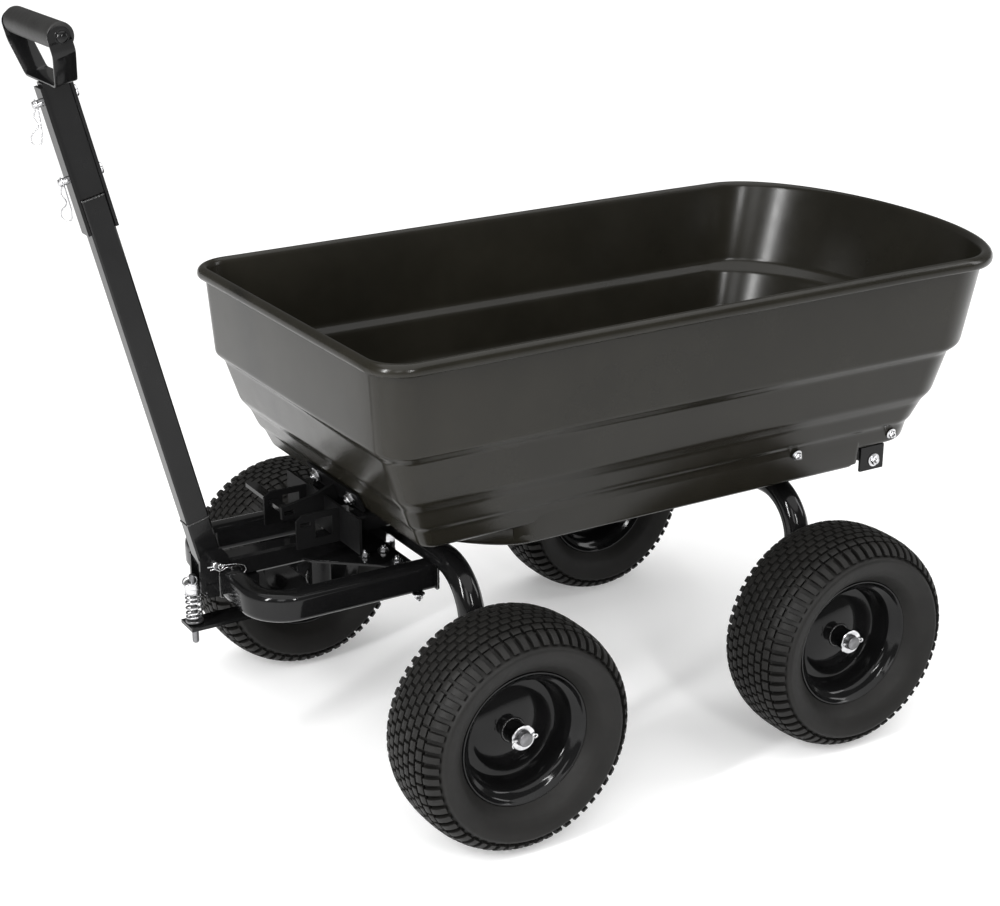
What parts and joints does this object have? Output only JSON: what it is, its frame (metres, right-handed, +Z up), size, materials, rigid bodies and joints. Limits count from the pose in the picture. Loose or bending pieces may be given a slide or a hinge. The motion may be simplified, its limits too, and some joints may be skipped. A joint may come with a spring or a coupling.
{
  "type": "tow behind dump cart",
  "caption": "Garden dump cart: moulded tub that tips to the rear, steel running gear with a steered front axle, swing-down pull handle and foam-filled turf tyres.",
  "frame": {"origin": "centre of the bounding box on the ground under the tyres", "axes": "+X towards the pouring end of the tub, -X towards the handle, +Y to the side the release bar sticks out of, +Z up"},
  "size_m": [1.778, 0.985, 1.3524],
  "materials": {
    "poly_tub": "satin moulded polyethylene, faint pebble grain",
    "black_powder_coat": "gloss black powder coat",
    "foam_tyre": "matte charcoal rubber",
    "zinc": "bright zinc plate",
    "bare_steel": "turned steel",
    "grip_plastic": "dull dark grey moulded plastic"
  },
  "bodies": {
    "chassis": {"rear_axle_tube": "black_powder_coat", "spindle_rl": "bare_steel", "spindle_rr": "bare_steel", "washer_rl": "zinc", "washer_rr": "zinc", "cotter_rl": "zinc", "cotter_rr": "zinc", "rail_left": "black_powder_coat", "rail_right": "black_powder_coat", "front_bolster": "black_powder_coat", "rear_axle_pad": "black_powder_coat", "kingpin": "zinc", "hinge_bar": "black_powder_coat", "latch_bracket": "black_powder_coat", "pivot_bolt_left": "zinc", "pivot_bolt_right": "zinc"},
    "steer_axle": {"front_axle_tube": "black_powder_coat", "spindle_fl": "bare_steel", "spindle_fr": "bare_steel", "washer_fl": "zinc", "washer_fr": "zinc", "cotter_fl": "zinc", "cotter_fr": "zinc", "steer_saddle": "black_powder_coat", "tow_arm_left": "black_powder_coat", "tow_arm_right": "black_powder_coat", "tongue_bar": "black_powder_coat", "tow_yoke": "black_powder_coat", "spring_cup": "zinc", "handle_pin": "zinc"},
    "tub": {"tub_shell": "poly_tub", "tub_front_bracket": "black_powder_coat", "tub_hinge_bracket_left": "black_powder_coat", "tub_hinge_bracket_right": "black_powder_coat", "front_bolt_left": "zinc", "front_bolt_right": "zinc"},
    "handle": {"handle_tube": "black_powder_coat", "clevis_plate_front": "black_powder_coat", "clevis_plate_rear": "black_powder_coat", "fold_pin": "zinc", "hitch_pin": "zinc"},
    "grip_head": {"grip_stem": "black_powder_coat", "grip_strap": "black_powder_coat", "grip": "grip_plastic", "grip_bolt": "zinc"},
    "tow_pin_body": {"tow_pin": "zinc", "tow_pin_spring": "zinc"},
    "release": {"release_bar": "black_powder_coat"},
    "wheel_fl": {"tyre_fl": "foam_tyre", "rim_fl": "black_powder_coat", "hub_fl": "black_powder_coat"},
    "wheel_fr": {"tyre_fr": "foam_tyre", "rim_fr": "black_powder_coat", "hub_fr": "black_powder_coat"},
    "wheel_rl": {"tyre_rl": "foam_tyre", "rim_rl": "black_powder_coat", "hub_rl": "black_powder_coat"},
    "wheel_rr": {"tyre_rr": "foam_tyre", "rim_rr": "black_powder_coat", "hub_rr": "black_powder_coat"}
  },
  "joints": [
    {"name": "steering", "type": "hinge", "parent": "chassis", "child": "steer_axle", "pos_m": [-0.29696, 0, 0.43], "axis": [0, 0, 1], "range_deg": [-35, 35]},
    {"name": "tub_dump", "type": "hinge", "parent": "chassis", "child": "tub", "pos_m": [0.57104, 0, 0.466], "axis": [0, 1, 0], "range_deg": [0, 80]},
    {"name": "handle_swing", "type": "hinge", "parent": "steer_axle", "child": "handle", "pos_m": [-0.64296, 0, 0.43], "axis": [0, 1, 0], "range_deg": [-76, 22]},
    {"name": "grip_fold", "type": "hinge", "parent": "handle", "child": "grip_head", "pos_m": [-0.81158, 0, 1.1063], "axis": [0.9703, 0, 0.2419], "range_deg": [0, 135]},
    {"name": "tow_pin_lift", "type": "slide", "parent": "steer_axle", "child": "tow_pin_body", "axis": [0, 0, 1], "range_m": [0, 0.026], "stiffness_N_per_m": 500, "springref_m": -0.015, "deforming": ["tow_pin_spring"]},
    {"name": "release_slide", "type": "slide", "parent": "chassis", "child": "release", "axis": [0, -1, 0], "range_m": [0, 0.074]},
    {"name": "roll_fl", "type": "hinge", "parent": "steer_axle", "child": "wheel_fl", "pos_m": [-0.29696, -0.407, 0.2032], "axis": [0, 1, 0], "continuous": true},
    {"name": "roll_fr", "type": "hinge", "parent": "steer_axle", "child": "wheel_fr", "pos_m": [-0.29696, 0.407, 0.2032], "axis": [0, 1, 0], "continuous": true},
    {"name": "roll_rl", "type": "hinge", "parent": "chassis", "child": "wheel_rl", "pos_m": [0.39504, -0.407, 0.2032], "axis": [0, 1, 0], "continuous": true},
    {"name": "roll_rr", "type": "hinge", "parent": "chassis", "child": "wheel_rr", "pos_m": [0.39504, 0.407, 0.2032], "axis": [0, 1, 0], "continuous": true}
  ]
}
